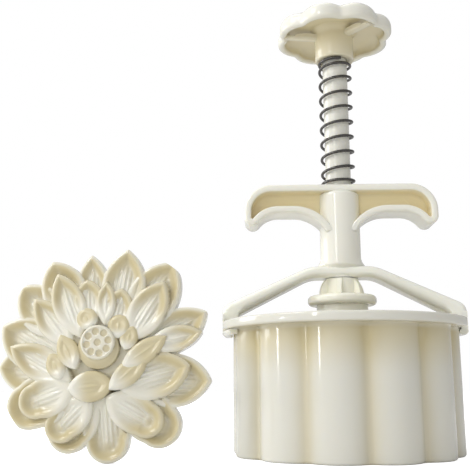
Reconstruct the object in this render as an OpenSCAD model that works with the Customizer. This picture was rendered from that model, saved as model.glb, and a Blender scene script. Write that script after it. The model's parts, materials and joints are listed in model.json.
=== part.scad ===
// Hand press for moulded mooncakes: a fluted barrel, a T-shaped finger grip whose
// yoke twist-locks on the barrel's rim, a sprung plunger with a flower knob, and
// the lotus stamp plate, taken off and stood on its edge beside the press.
// Millimetres. The press axis is Z, the table is z = 0 and the front is -Y.

/* [Barrel] */
// Overall height of the barrel with its rim
barrel_h = 41.4; // [34:0.1:60]
// Step from the flutes' crests out to the edge of the rim
rim_step = 3; // [2.6:0.1:5]
// Number of flutes round the barrel
flute_count = 12; // [11:1:13]
// Radius of one flute's arc
flute_r = 11; // [10:0.1:12]
// Radius of the fillet between two flutes
flute_fillet = 2.5; // [2:0.1:3]
// Wall thickness of the barrel
barrel_wall = 2; // [1.4:0.1:2.4]
// Turn of the flutes about the press axis, in degrees
flute_turn = 5; // [0:1:29]
// Radius of the rim at the top of the barrel
rim_r = 39; // [36:0.1:42]
// Thickness of the rim
rim_t = 2.8; // [2:0.1:4]

/* [Grip and yoke] */
// Height of the yoke's top above the barrel
yoke_rise = 17.7; // [15:0.1:24]
// Thickness of the yoke's middle strip
yoke_t = 3.7; // [2:0.1:4.5]
// Height of the grip's top above the yoke's top
grip_rise = 27.1; // [25:0.1:36]
// Overall width of the finger grip
grip_w = 63.2; // [60:0.1:72]
// Depth of the grip and the yoke from front to back
grip_depth = 11.6; // [10:0.1:13]
// Thickness of the rim that runs round each wing
wing_rim = 2.3; // [1.8:0.1:2.5]
// Thickness of the web inside each wing
wing_web = 2.2; // [1.6:0.1:4]
// Radius of the round column that guides the plunger
column_r = 6.6; // [6:0.1:7.4]

/* [Twist lock] */
// Radial thickness of each leg that passes the rim
leg_t = 2.1; // [1.6:0.1:2.4]
// Thickness of the lip that hooks under the rim
lip_t = 1.5; // [1.2:0.1:2.4]
// Angle through which the grip turns to unlock, in degrees
lock_angle = 13; // [8:1:18]
// Running clearance of the lock
lock_clear = 0.3; // [0.2:0.05:0.4]

/* [Plunger] */
// Diameter of the plunger rod
rod_d = 8.4; // [7.4:0.1:8.8]
// Radial running clearance of the rod in the column
rod_clear = 0.1; // [0.05:0.01:0.2]
// Outer radius of the foot's sleeve on the rod
sleeve_r = 5.4; // [5.2:0.1:5.8]
// Height of the sleeve and its fins above the foot's flange
sleeve_h = 5.5; // [4.5:0.1:9]
// Radius of the foot's flange
foot_flange_r = 11.1; // [10:0.1:13]
// Thickness of the foot's flange
foot_flange_t = 3.1; // [2.4:0.1:4]
// Radius of the foot's neck
neck_r = 8.3; // [7.4:0.1:9]
// Height of the foot's neck
neck_h = 4; // [3:0.1:6]
// Radius of the spigot that carries a stamp
spigot_r = 6; // [5.8:0.05:6.4]
// Length of the spigot
spigot_l = 9.6; // [8:0.1:11]
// Number of fins round the sleeve
fin_count = 6; // [4:1:8]
// Thickness of one fin
fin_t = 1.4; // [1:0.1:2]
// Radius that the fins reach at the flange
fin_r = 7.7; // [7:0.1:9]
// Turn of the fins about the press axis, in degrees
fin_turn = 18; // [0:1:59]

/* [Knob] */
// Radius of the knob at its lobes
knob_r = 20; // [18:0.1:23]
// Height of the knob from its lower edge to its crown
knob_h = 10; // [9:0.1:13]
// Number of lobes round the knob
lobe_count = 8; // [6:1:10]
// Wall thickness of the knob
knob_wall = 2.6; // [2:0.1:3.4]
// Thickness of the knob's inner webs
knob_web = 3; // [2:0.1:4]
// Radius of the boss on the rod
boss_r = 6.6; // [5.8:0.1:7]
// Length of the boss below the knob's lower edge
boss_drop = 7.5; // [5:0.1:10]
// Number of webs between the boss and the skirt
web_count = 3; // [3:1:6]
// Turn of the webs about the press axis, in degrees
web_turn = 70; // [0:1:119]
// Turn of the lobes about the press axis, in degrees
lobe_turn = 25; // [0:1:44]

/* [Return spring] */
// Installed length of the spring
spring_l = 45.3; // [38:0.1:56]
// Outer diameter of the spring
spring_d = 11.5; // [11.4:0.1:12.2]
// Diameter of the spring wire
wire_d = 0.95; // [0.8:0.05:1.1]
// Number of open curls between the two end curls
open_curls = 7.8; // [6:0.1:9]
// Pitch of the curl at each end
end_pitch = 1.5; // [1.4:0.05:2]

/* [Lotus stamp] */
// Clearance between the petals' tips and the inside of the barrel
stamp_clear = 0.3; // [0.3:0.1:2]
// Thickness of the plate behind the petals
plate_t = 3.2; // [2.4:0.1:4]
// Height of the outer petals above the back of the plate
outer_h = 5; // [4.4:0.1:6]
// Step from one layer of petals to the next
layer_step = 1.8; // [1.2:0.1:2.4]
// Width of the raised edge round each petal
petal_edge = 1.1; // [0.8:0.1:1.5]
// Depth of the scoop in each petal
petal_scoop = 1.5; // [0.8:0.1:2]
// Radius of the seed pod
pod_r = 4.8; // [4:0.1:5.5]
// Distance from the rim's edge out to the stamp's centre
stamp_apart = 31.7; // [31.7:0.1:50]
// Distance of the stamp's back in front of the press axis
stamp_front = 26; // [0:0.1:60]
// Radial clearance between a stamp's socket and the spigot
socket_clear = 0.05; // [0.02:0.01:0.1]

/* [Hidden] */
$fn = 96;
EPS = 0.01;
SEAT = 0.05;
IVORY = [0.93, 0.91, 0.80];
STEEL = [0.35, 0.35, 0.36];
ZINC = [0.75, 0.75, 0.73];

// Heights, all worked up from the table
rim_z = barrel_h - rim_t;
yoke_top_z = barrel_h + yoke_rise;
yoke_under_z = yoke_top_z - yoke_t;
grip_top_z = yoke_top_z + grip_rise;
boss_z = grip_top_z + spring_l;
knob_z = boss_z + boss_drop;
knob_top_z = knob_z + knob_h;
stop_gap = 0.2;
sleeve_top_z = yoke_under_z - stop_gap;
flange_top_z = sleeve_top_z - sleeve_h;
neck_top_z = flange_top_z - foot_flange_t;
spigot_top_z = neck_top_z - neck_h;
spigot_end_z = spigot_top_z - spigot_l;

// Screw joint inside the foot: screw head, washer, floor and the end of the rod
rod_r = rod_d / 2;
screw_r = 1.5;
head_r = 3;
head_h = 1.9;
washer_r = 3.8;
washer_t = 0.6;
pocket_r = 4.1;
pocket_h = 3.4;
floor_t = 2;
floor_z = spigot_end_z + pocket_h;
rod_end_z = floor_z + floor_t + SEAT;
screw_l = 14;
slot_w = 1.6;

// ---------------------------------------------------------------- barrel

crest_r = rim_r - rim_step;
flute_step = 360 / flute_count;
flute_axis_r = crest_r - flute_r;
fillet_axis_r = flute_axis_r * cos(flute_step / 2)
    + sqrt(pow(flute_r + flute_fillet, 2) - pow(flute_axis_r * sin(flute_step / 2), 2));

// Lobed outline of the barrel, drawn inwards by a wall
module fluted(wall) {
    difference() {
        union() {
            circle(r = flute_axis_r);
            for (i = [0:flute_count - 1]) {
                a = flute_turn + 90 + flute_step * (i + 0.5);
                rotate(a)
                    translate([flute_axis_r, 0])
                        circle(r = flute_r - wall);
                rotate(a - flute_step / 2)
                    polygon([
                        [0, 0],
                        flute_axis_r * [cos(flute_step / 2), -sin(flute_step / 2)],
                        [fillet_axis_r, 0],
                        flute_axis_r * [cos(flute_step / 2), sin(flute_step / 2)]
                    ]);
            }
        }
        for (i = [0:flute_count - 1])
            rotate(flute_turn + 90 + flute_step * i)
                translate([fillet_axis_r, 0])
                    circle(r = flute_fillet + wall);
    }
}

// Wedge of the plane between two angles, as far as a radius
module sector(from, to, r) {
    steps = ceil((to - from) / 20);
    polygon(concat([[0, 0]],
        [for (i = [0:steps]) let (a = from + (to - from) * i / steps)
            r / cos(10) * [cos(a), sin(a)]]));
}

// Half the angle that a leg of the yoke takes up, and the slot it needs
leg_half = asin(grip_depth / 2 / (rim_r - leg_t));
slack = 0.5;
notch_to = leg_half + slack;
notch_from = -leg_half - lock_angle - 2 * slack;
leg_in_r = rim_r - leg_t;
notch_r = leg_in_r - lock_clear;

module barrel() {
    color(IVORY)
        difference() {
            union() {
                linear_extrude(barrel_h)
                    fluted(0);
                translate([0, 0, rim_z])
                    linear_extrude(rim_t)
                        difference() {
                            circle(r = rim_r);
                            for (side = [0, 180])
                                rotate(side)
                                    difference() {
                                        sector(notch_from, notch_to, rim_r + 2);
                                        circle(r = notch_r);
                                    }
                        }
            }
            translate([0, 0, -1])
                linear_extrude(barrel_h + 2)
                    fluted(barrel_wall);
        }
}

// ---------------------------------------------------- grip, column and yoke

wing_corner = 8.8;
wing_tip_r = 2.7;
wing_drop = 13.6;
arch_drop = 9.5;
arch_x = 15.5;
arch_in_r = 12;
arch_out_r = 8;
column_bore_r = rod_r + rod_clear;

// Outline of both wings seen from the front, drawn inwards by a rim
module wings(rim) {
    arch_z = grip_top_z - arch_drop;
    tip = [grip_w / 2 - wing_tip_r, grip_top_z - wing_drop + wing_tip_r];
    side = grip_w / 2 - rim;
    corner = [grip_w / 2 - wing_corner, grip_top_z - wing_corner];
    reach = arch_out_r + wing_tip_r;
    shoulder = [tip[0] - sqrt(pow(reach, 2) - pow(tip[1] - arch_z + arch_out_r, 2)),
        arch_z - arch_out_r];
    flank = [arch_x, arch_z - arch_in_r];
    for (s = [0, 1])
        mirror([s, 0]) {
            difference() {
                polygon([
                    [-EPS, grip_top_z - rim],
                    [corner[0], grip_top_z - rim],
                    corner,
                    [side, corner[1]],
                    [side, tip[1]],
                    tip,
                    shoulder,
                    [flank[0], shoulder[1]],
                    [-EPS, arch_z - arch_in_r / 2 + rim]
                ]);
                translate(shoulder)
                    circle(r = arch_out_r + rim);
                translate(flank)
                    circle(r = arch_in_r + rim);
                polygon([
                    flank,
                    [flank[0], arch_z + rim],
                    [shoulder[0], arch_z + rim],
                    shoulder
                ]);
            }
            translate(corner)
                intersection() {
                    circle(r = wing_corner - rim);
                    square(wing_corner);
                }
            translate(tip)
                circle(r = wing_tip_r - rim);
        }
}

arm_slope = 24;
arm_under_slope = 27;
arm_bend_r = 14;
foot_h = 5.4;
foot_in_h = 2.2;
foot_w = 5.6;
sole_z = barrel_h + lock_clear;

// Outer and inner lines of the yoke seen from the front
function bend(top, slope, r, x, z) = let (
        end_z = top - r * (1 - cos(slope)),
        end_x = x - (end_z - z) / tan(slope))
    [[end_x - r * sin(slope), top], [end_x, end_z], [x, z]];

module under_line(line, r, low) {
    for (s = [0, 1])
        mirror([s, 0]) {
            polygon([
                [-EPS, low],
                [-EPS, line[0][1]],
                line[0],
                line[1],
                line[2],
                [line[2][0], low]
            ]);
            translate([line[0][0], line[0][1] - r])
                circle(r = r);
        }
}

module yoke_outline() {
    outer = bend(yoke_top_z, arm_slope, arm_bend_r, rim_r - 1, barrel_h + foot_h);
    inner = bend(yoke_under_z, arm_under_slope, arm_bend_r - yoke_t, rim_r - foot_w,
        barrel_h + foot_in_h);
    difference() {
        intersection() {
            union() {
                under_line(outer, arm_bend_r, sole_z);
                for (s = [0, 1])
                    mirror([s, 0])
                        translate([rim_r - 2, sole_z])
                            square([4, foot_h - 1 - lock_clear]);
            }
            translate([-rim_r, sole_z])
                square([2 * rim_r, yoke_rise]);
        }
        under_line(inner, arm_bend_r - yoke_t, sole_z - 1);
    }
}

// Leg that passes the rim's slot, with the lip that turns under the rim
module lock_leg() {
    lip_z = rim_z - lock_clear - lip_t;
    lip_in_r = crest_r + lock_clear;
    chamfer = lip_t / 2;
    leg_z = lip_z + 0.75 * lip_t;
    leg_h = sole_z + 1 - leg_z;
    intersection() {
        translate([leg_in_r - 2, -grip_depth / 2, leg_z])
            cube([leg_t + 4, grip_depth, leg_h]);
        translate([0, 0, leg_z - 1])
            difference() {
                cylinder(h = leg_h + 2, r = rim_r - SEAT);
                translate([0, 0, -1])
                    cylinder(h = leg_h + 4, r = leg_in_r);
            }
    }
    rotate(-leg_half)
        rotate_extrude(angle = 2 * leg_half + lock_angle)
            translate([0, lip_z])
                polygon([
                    [lip_in_r, 0],
                    [rim_r - chamfer, 0],
                    [rim_r, chamfer],
                    [rim_r, lip_t],
                    [lip_in_r, lip_t]
                ]);
}

module handle_frame() {
    color(IVORY)
        difference() {
            union() {
                difference() {
                    rotate([90, 0, 0])
                        linear_extrude(grip_depth, center = true)
                            wings(0);
                    for (s = [-1, 1])
                        translate([0, s * (wing_web / 2 + grip_depth / 2), 0])
                            rotate([90, 0, 0])
                                linear_extrude(grip_depth, center = true)
                                    wings(wing_rim);
                }
                translate([0, 0, yoke_under_z])
                    cylinder(h = grip_top_z - yoke_under_z, r = column_r);
                intersection() {
                    rotate([90, 0, 0])
                        linear_extrude(grip_depth, center = true)
                            yoke_outline();
                    cylinder(h = yoke_top_z + 1, r = rim_r);
                }
                for (side = [0, 180])
                    rotate(side)
                        lock_leg();
            }
            translate([0, 0, yoke_under_z - 1])
                cylinder(h = grip_top_z - yoke_under_z + 2, r = column_bore_r);
        }
}

// ------------------------------------------------------------- return spring

CURL_RINGS = 8;
WIRE_SIDES = 6;
coil_r = (spring_d - wire_d) / 2;
coil_low = grip_top_z + SEAT + wire_d / 2;
coil_high = boss_z - SEAT - wire_d / 2;
open_pitch = (coil_high - coil_low - 2 * end_pitch) / open_curls;
all_curls = open_curls + 2;

// Height of the wire above its lower end after a number of curls
function coil_rise(t) = t < 1 ? end_pitch * t
    : t < 1 + open_curls ? end_pitch + open_pitch * (t - 1)
    : end_pitch + open_pitch * open_curls + end_pitch * (t - 1 - open_curls);
function coil_point(t) = [coil_r * cos(360 * t), coil_r * sin(360 * t), coil_low + coil_rise(t)];
function unit(v) = v / norm(v);

coil_steps = round(all_curls * CURL_RINGS);
coil_path = [for (i = [0:coil_steps]) coil_point(all_curls * i / coil_steps)];
coil_start = coil_path[0] + wire_d * [0, -1, 0];
coil_last = coil_path[coil_steps];
coil_end = coil_last + wire_d * unit([-coil_last[1], coil_last[0], 0]);
wire_path = concat([coil_start], coil_path, [coil_end]);

// Direction of the wire at one point of its path
function heading(p, i) = i == 0 ? unit(p[1] - p[0])
    : i == len(p) - 1 ? unit(p[i] - p[i - 1])
    : unit(unit(p[i + 1] - p[i]) + unit(p[i] - p[i - 1]));
function wire_ring(p, i) = let (
        d = heading(p, i),
        out = unit([p[i][0], p[i][1], 0]),
        u = unit(cross(d, out)),
        v = cross(u, d))
    [for (k = [0:WIRE_SIDES - 1])
        p[i] + wire_d / 2 * (cos(360 * k / WIRE_SIDES) * v + sin(360 * k / WIRE_SIDES) * u)];

wire_points = [for (i = [0:len(wire_path) - 1]) each wire_ring(wire_path, i)];
wire_faces = concat(
    [for (k = [1:WIRE_SIDES - 2]) [0, k, k + 1]],
    [for (i = [0:len(wire_path) - 2], k = [0:WIRE_SIDES - 1])
        let (a = i * WIRE_SIDES, n = (k + 1) % WIRE_SIDES)
        [a + k, a + WIRE_SIDES + k, a + n]],
    [for (i = [0:len(wire_path) - 2], k = [0:WIRE_SIDES - 1])
        let (a = i * WIRE_SIDES, n = (k + 1) % WIRE_SIDES)
        [a + n, a + WIRE_SIDES + k, a + WIRE_SIDES + n]],
    [for (k = [1:WIRE_SIDES - 2])
        let (a = (len(wire_path) - 1) * WIRE_SIDES)
        [a, a + k + 1, a + k]]);

// Least gap between one curl and the next, measured on points of the wire
half_curl = CURL_RINGS / 2;
self_gap = min([for (i = [0:len(wire_path) - 1], j = [i + half_curl:1:len(wire_path) - 1])
    norm(wire_path[j] - wire_path[i])]) - wire_d;

module return_spring() {
    echo(least_gap_of_the_spring_to_itself = self_gap);
    color(STEEL)
        polyhedron(points = wire_points, faces = wire_faces, convexity = 12);
}

// ------------------------------------------------------- rod, foot and screw

rod_top_z = knob_top_z - knob_wall - 1;

module plunger_rod() {
    color(IVORY)
        difference() {
            translate([0, 0, rod_end_z])
                cylinder(h = rod_top_z - rod_end_z, r = rod_r);
            translate([0, 0, rod_end_z - 1])
                cylinder(h = screw_l + 1, r = screw_r + SEAT);
        }
}

// Edge of a disc rounded on both sides
module rounded_disc(r, t, edge) {
    rotate_extrude() {
        square([r - edge, t]);
        translate([0, edge])
            square([r, t - 2 * edge]);
        for (z = [edge, t - edge])
            translate([r - edge, z])
                circle(r = edge);
    }
}

// Fins lean in to the sleeve on a convex line
module fin() {
    fin_in = fin_r - sleeve_r;
    arc_r = (pow(fin_in, 2) + pow(sleeve_h, 2)) / (2 * fin_in);
    rotate([90, 0, 0])
        linear_extrude(fin_t, center = true)
            intersection() {
                translate([fin_r - arc_r, 0])
                    circle(r = arc_r);
                translate([rod_r + 0.5, -EPS])
                    square([fin_r, sleeve_h + EPS]);
            }
}

module plunger_foot() {
    color(IVORY)
        difference() {
            union() {
                translate([0, 0, neck_top_z])
                    rounded_disc(foot_flange_r, foot_flange_t, foot_flange_t * 0.4);
                translate([0, 0, flange_top_z])
                    cylinder(h = sleeve_h, r = sleeve_r);
                for (i = [0:fin_count - 1])
                    rotate(fin_turn + 360 / fin_count * i)
                        translate([0, 0, flange_top_z])
                            fin();
                translate([0, 0, spigot_top_z])
                    cylinder(h = neck_h + EPS, r = neck_r);
                translate([0, 0, spigot_end_z])
                    cylinder(h = spigot_l + EPS, r = spigot_r);
            }
            translate([0, 0, rod_end_z - SEAT])
                cylinder(h = sleeve_top_z - rod_end_z + 1, r = rod_r + SEAT);
            translate([0, 0, spigot_end_z - 1])
                cylinder(h = pocket_h + 1, r = pocket_r);
            translate([0, 0, floor_z - 1])
                cylinder(h = floor_t + 2, r = screw_r + 0.2);
            translate([-spigot_r - 1, -slot_w / 2, spigot_end_z - 1])
                cube([2 * spigot_r + 2, slot_w, pocket_h]);
        }
}

module foot_washer() {
    color(ZINC)
        translate([0, 0, floor_z - SEAT - washer_t])
            difference() {
                cylinder(h = washer_t, r = washer_r);
                translate([0, 0, -1])
                    cylinder(h = washer_t + 2, r = screw_r + 0.2);
            }
}

module foot_screw() {
    head_top_z = floor_z - 2 * SEAT - washer_t;
    driver_w = 0.8;
    color(ZINC)
        difference() {
            union() {
                translate([0, 0, head_top_z - head_h])
                    rounded_disc(head_r, head_h, head_h * 0.35);
                translate([0, 0, head_top_z - EPS])
                    cylinder(h = screw_l - 1, r = screw_r);
            }
            for (a = [0, 90])
                rotate(a)
                    translate([-head_r * 0.6, -driver_w / 2, head_top_z - head_h - 1])
                        cube([head_r * 1.2, driver_w, 2]);
        }
}

// ---------------------------------------------------------------------- knob

knob_edge = 3.6;
knob_crown_r = 35;
lobe_r = knob_r * 0.43;

// Dome of the knob seen in section, drawn inwards by a wall
module knob_section(wall) {
    crown = [0, knob_h - knob_crown_r];
    edge_x = knob_r - knob_edge;
    edge = [edge_x, crown[1] + sqrt(pow(knob_crown_r - knob_edge, 2) - pow(edge_x, 2))];
    intersection() {
        union() {
            intersection() {
                translate(crown)
                    circle(r = knob_crown_r - wall, $fn = 200);
                polygon([
                    [0, 0],
                    [edge[0], 0],
                    edge,
                    edge + 2 * knob_edge * unit(edge - crown),
                    [0, 2 * knob_h]
                ]);
            }
            translate(edge)
                circle(r = knob_edge - wall);
            translate([0, -2])
                square([edge[0], edge[1] + 2]);
            translate([edge[0] - 1, -2])
                square([knob_edge - wall + 1, edge[1] + 2]);
        }
        translate([0, -2])
            square([2 * knob_r, 2 * knob_h]);
    }
}

module lobed(wall) {
    circle(r = knob_r - lobe_r);
    for (i = [0:lobe_count - 1])
        rotate(360 / lobe_count * i + lobe_turn)
            translate([knob_r - lobe_r, 0])
                circle(r = lobe_r - wall);
}

module knob_form(wall) {
    intersection() {
        rotate_extrude()
            knob_section(wall);
        translate([0, 0, -1])
            linear_extrude(2 * knob_h)
                lobed(wall);
    }
}

module knob() {
    color(IVORY)
        difference() {
            union() {
                translate([0, 0, knob_z])
                    difference() {
                        intersection() {
                            knob_form(0);
                            cylinder(h = 2 * knob_h, r = 2 * knob_r);
                        }
                        difference() {
                            translate([0, 0, -1])
                                knob_form(knob_wall);
                            for (i = [0:web_count - 1])
                                rotate(360 / web_count * i + web_turn)
                                    translate([0, -knob_web / 2, 0])
                                        cube([knob_r, knob_web, knob_h]);
                        }
                    }
                translate([0, 0, boss_z])
                    cylinder(h = boss_drop + knob_h - knob_wall, r = boss_r);
            }
            translate([0, 0, boss_z - 1])
                cylinder(h = rod_top_z + SEAT - boss_z + 1, r = rod_r + SEAT);
        }
}

// --------------------------------------------------------------- lotus stamp

// Petals as [base x, base y, tip x, tip y, width, round end 0 or 1], seen from
// the front with the stamp upright. Each layer stands a step above the last.
OUTER_PETALS = [
    [11, 2, 28.5, 12, 13, 0], [8, 8, 18, 25.4, 14, 0], [4, 9, 6, 30.3, 13, 0],
    [-4, 11, -4.8, 28.8, 10, 0], [-9, 11, -15.8, 26.8, 13, 0], [-13, 7, -24.4, 19.4, 13, 0],
    [-13, -1, -30, 8, 14, 0], [-12, -5, -30.8, -4, 15, 0], [-9, -9, -26.3, -16.5, 15, 1],
    [-5, -11, -12.5, -26.4, 14, 1], [0.5, -11, 1.6, -30, 13, 1], [5, -11, 20, -23.6, 14, 1],
    [9, -7, 30.2, -7.6, 15, 0]
];
INNER_PETALS = [
    [5, -9, 24.2, -3.1, 12, 0], [1.6, -12, 16.4, -20.5, 10, 0], [-4, -12, -14.9, -22.8, 10, 0],
    [-8, -9, -23.5, -14.5, 10, 0], [-9, -5, -26, 2.3, 9, 0], [-9, 3, -20.8, 15.4, 9, 0],
    [-6, 6, -13.8, 22.6, 9, 0], [3, 7, 4.8, 22, 8, 0], [7, 4, 17, 20, 10, 0]
];
CUP_PETALS = [
    [-7, -9, 3, -8.2, 8, 0], [3, -9, 12.4, -1, 6, 0], [5.4, -2.6, 16.6, 4.8, 6, 0],
    [-8, -3, -12, 5, 6, 0], [-4, 7, -6, 12.6, 5.6, 0], [5, 5, 7, 10.6, 5.6, 0]
];
scoop_wall = 0.4;
POD = [-1.5, 3];
pod_holes = 8;
pod_hole_r = 0.7;
pod_ring_r = 0.62;
plate_r = 21;

// Largest radius that a petal may reach inside the barrel's valleys
petal_reach = fillet_axis_r - flute_fillet - barrel_wall - stamp_clear;
stamp_left = rim_r + stamp_apart;

// Tip of a petal, kept within that reach
function tip_of(p) = let (t = [p[2], p[3]]) t * min(1, petal_reach / norm(t));

// Radius of a petal's round end, and the lowest point of the petal
function end_r(w) = 0.4 * w;
function lowest(p) = let (tip = tip_of(p), v = tip - [p[0], p[1]])
    p[5] > 0 ? tip[1] - end_r(p[4]) * (1 + v[1] / norm(v)) : tip[1];
low_tip = min([for (p = OUTER_PETALS) lowest(p)]);

// Pointed oval between two ends, drawn inwards by an edge
module leaf(l, w, edge) {
    r = (l * l + w * w) / 4 / w;
    intersection() {
        translate([l / 2, r - w / 2])
            circle(r = r - edge);
        translate([l / 2, w / 2 - r])
            circle(r = r - edge);
    }
}

// Outline of one petal along +X, with a pointed or a round end
module petal_outline(l, w, is_round, edge) {
    tuck = 0.6;
    leaf(l - (is_round ? tuck : 0), w, edge);
    if (is_round)
        translate([l - end_r(w), 0])
            circle(r = end_r(w) - edge);
}

module petal(p, h) {
    tip = tip_of(p);
    v = tip - [p[0], p[1]];
    l = norm(v);
    w = p[4];
    is_round = p[5] > 0;
    half_w = w / 2 - petal_edge;
    dish = petal_scoop - scoop_wall;
    scoop_r = (half_w * half_w + dish * dish) / 2 / dish;
    translate([p[0], p[1], 0])
        rotate(atan2(v[1], v[0]))
            difference() {
                linear_extrude(h)
                    petal_outline(l, w, is_round, 0);
                intersection() {
                    translate([0, 0, h + scoop_r - petal_scoop])
                        rotate([0, 90, 0])
                            cylinder(h = l, r = scoop_r);
                    translate([0, 0, h - petal_scoop - 1])
                        linear_extrude(petal_scoop + 2)
                            petal_outline(l, w, is_round, petal_edge);
                }
            }
}

// One layer of petals, staggered so that no two that meet share a plane
module petals(list, h) {
    for (i = [0:len(list) - 1])
        petal(list[i], h + layer_step * (5 * i % 7) / 20);
}

module lotus_stamp() {
    socket_l = spigot_l + 0.2;
    socket_r = spigot_r + socket_clear;
    pod_h = outer_h + 2.4 * layer_step;
    color(IVORY)
        translate([-stamp_left, -stamp_front, -low_tip])
            rotate([90, 0, 0])
                difference() {
                    union() {
                        cylinder(h = plate_t, r = plate_r);
                        translate([0, 0, 0.2 - socket_l])
                            cylinder(h = socket_l, r = neck_r);
                        petals(OUTER_PETALS, outer_h);
                        petals(INNER_PETALS, outer_h + layer_step);
                        petals(CUP_PETALS, outer_h + 1.8 * layer_step);
                        translate([POD[0], POD[1], 0])
                            cylinder(h = pod_h, r = pod_r);
                    }
                    translate([0, 0, -socket_l - 1])
                        cylinder(h = socket_l + 1 + 0.2, r = socket_r);
                    translate([POD[0], POD[1], pod_h - 0.6]) {
                        cylinder(h = 2, r = pod_hole_r);
                        for (i = [0:pod_holes - 1])
                            rotate(360 / pod_holes * i)
                                translate([pod_r * pod_ring_r, 0, 0])
                                    cylinder(h = 2, r = pod_hole_r);
                    }
                }
}

barrel();
handle_frame();
return_spring();
plunger_rod();
knob();
plunger_foot();
foot_washer();
foot_screw();
lotus_stamp();
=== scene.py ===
import json
import math

import bmesh
import bpy
import numpy as np
from bpy.props import FloatProperty, FloatVectorProperty, IntProperty, PointerProperty
from mathutils import Matrix, Vector


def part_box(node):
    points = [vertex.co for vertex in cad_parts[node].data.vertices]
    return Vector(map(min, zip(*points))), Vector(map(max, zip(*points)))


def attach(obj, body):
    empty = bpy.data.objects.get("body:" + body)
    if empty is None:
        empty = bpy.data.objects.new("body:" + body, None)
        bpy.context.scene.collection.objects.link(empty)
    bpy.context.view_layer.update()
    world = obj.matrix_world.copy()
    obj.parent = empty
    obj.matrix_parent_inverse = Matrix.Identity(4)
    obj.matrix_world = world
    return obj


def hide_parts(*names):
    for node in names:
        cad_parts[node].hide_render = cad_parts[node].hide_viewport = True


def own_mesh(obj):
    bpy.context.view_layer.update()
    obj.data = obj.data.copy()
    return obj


bl_info = {
    "name": "Mooncake Press",
    "version": (1, 0, 0),
    "blender": (4, 5, 0),
    "location": "View3D > Sidebar > Press",
    "description": "Dresses the hand press for mooncakes: barrel, grip, knob, spring and lotus stamp",
    "category": "Object",
}

# The frame holds every node of the press in metres; this script works in millimetres
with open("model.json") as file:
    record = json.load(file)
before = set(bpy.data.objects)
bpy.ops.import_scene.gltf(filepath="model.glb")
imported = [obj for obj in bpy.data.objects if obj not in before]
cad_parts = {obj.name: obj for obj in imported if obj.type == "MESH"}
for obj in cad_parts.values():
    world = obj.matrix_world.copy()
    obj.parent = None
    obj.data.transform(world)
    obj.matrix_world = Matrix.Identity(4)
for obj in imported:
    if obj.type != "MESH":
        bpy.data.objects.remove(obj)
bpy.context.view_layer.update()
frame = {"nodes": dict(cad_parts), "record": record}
MM = 0.001


def box_mm(node):
    """Lowest and highest corner of a node of the frame, in millimetres."""
    low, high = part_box(node)
    return low / MM, high / MM


KNOB_LOW, KNOB_HIGH = box_mm("knob")
RIM_R = box_mm("barrel")[1].y
RIM_TOP = box_mm("barrel")[1].z
GRIP_TOP = box_mm("handle_frame")[1].z
ROD_R = box_mm("plunger_rod")[1].x

# Travel of the plunger in millimetres and turn of the lock in degrees
JOINTS = {joint["name"]: joint for joint in frame["record"]["behaviour"]["joints"]}
LOCK_TURN = JOINTS["lock_twist"]["range_deg"][1]

# Twist lock: thickness of the leg that stands in the rim's slot, and its room to the rim
LEG_T = 2.1
LOCK_GAP = 0.3

# Height of the stamp's middle above the table
STAND_Z = 30.01


def lengths(name, text, default):
    """Length property, kept in millimetres."""
    return FloatProperty(name=name, description=text, default=default, min=0.01, max=200.0,
                         unit="NONE", subtype="NONE", precision=2)


# ------------------------------------------------------------------ settings


class BarrelSettings(bpy.types.PropertyGroup):
    flutes: IntProperty(name="Flutes", description="Number of flutes round the barrel",
                        default=12, min=3, max=24)
    turn: FloatProperty(name="Turn", description="Turn of the flutes, in degrees", default=5.0)
    lobe_r: lengths("Lobe radius", "Radius of one flute's arc, mm", 11.0)
    crest_r: lengths("Crest radius", "Radius of the barrel at the flutes' crests, mm", 36.0)
    fillet_r: lengths("Fillet", "Radius between two flutes, mm", 2.5)
    wall: lengths("Wall", "Wall thickness, mm", 2.0)
    rim_t: lengths("Rim", "Thickness of the rim, mm", 2.8)
    edge_r: lengths("Edge", "Rounding of the rim's edges, mm", 0.6)
    foot_r: lengths("Lower edge", "Rounding of the lower edge, mm", 0.9)


class GripSettings(bpy.types.PropertyGroup):
    width: lengths("Grip width", "Overall width of the finger grip, mm", 63.2)
    depth: lengths("Grip depth", "Depth of the grip from front to back, mm", 11.6)
    corner_r: lengths("Corner", "Radius of the wings' upper corners, mm", 8.8)
    tip_r: lengths("Tip", "Radius of the wings' tips, mm", 2.7)
    tip_drop: lengths("Tip drop", "Height of the grip's top above the tips, mm", 13.6)
    arch_drop: lengths("Arch drop", "Height of the grip's top above the arches, mm", 9.5)
    flange: lengths("Flange", "Width of the flange round each wing, mm", 2.3)
    web: lengths("Web", "Thickness of the web in each wing, mm", 2.2)
    column_r: lengths("Column", "Radius of the column, mm", 6.6)
    edge_r: lengths("Edge", "Rounding of the edges, mm", 0.9)
    yoke_rise: lengths("Yoke rise", "Height of the yoke's top above the rim, mm", 17.7)
    yoke_t: lengths("Yoke strip", "Thickness of the yoke's middle strip, mm", 3.7)


class KnobSettings(bpy.types.PropertyGroup):
    lobes: IntProperty(name="Lobes", description="Number of lobes round the knob",
                       default=8, min=3, max=16)
    turn: FloatProperty(name="Turn", description="Turn of the lobes, in degrees", default=25.0)
    web_count: IntProperty(name="Webs", description="Number of webs under the knob",
                           default=3, min=2, max=8)
    web_turn: FloatProperty(name="Web turn", description="Turn of the webs, in degrees",
                            default=70.0)
    reach: lengths("Reach", "Largest radius of the knob, mm", 20.0)
    crown_r: lengths("Crown", "Radius of the crown's dome, mm", 41.0)
    edge_r: lengths("Edge", "Rounding between crown and skirt, mm", 3.6)
    height: lengths("Height", "Height of the knob without its boss, mm", 10.0)
    wall: lengths("Wall", "Wall thickness of the skirt, mm", 2.6)
    boss_r: lengths("Boss", "Radius of the boss on the rod, mm", 6.6)
    web: lengths("Web", "Thickness of the inner webs, mm", 3.0)


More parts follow.
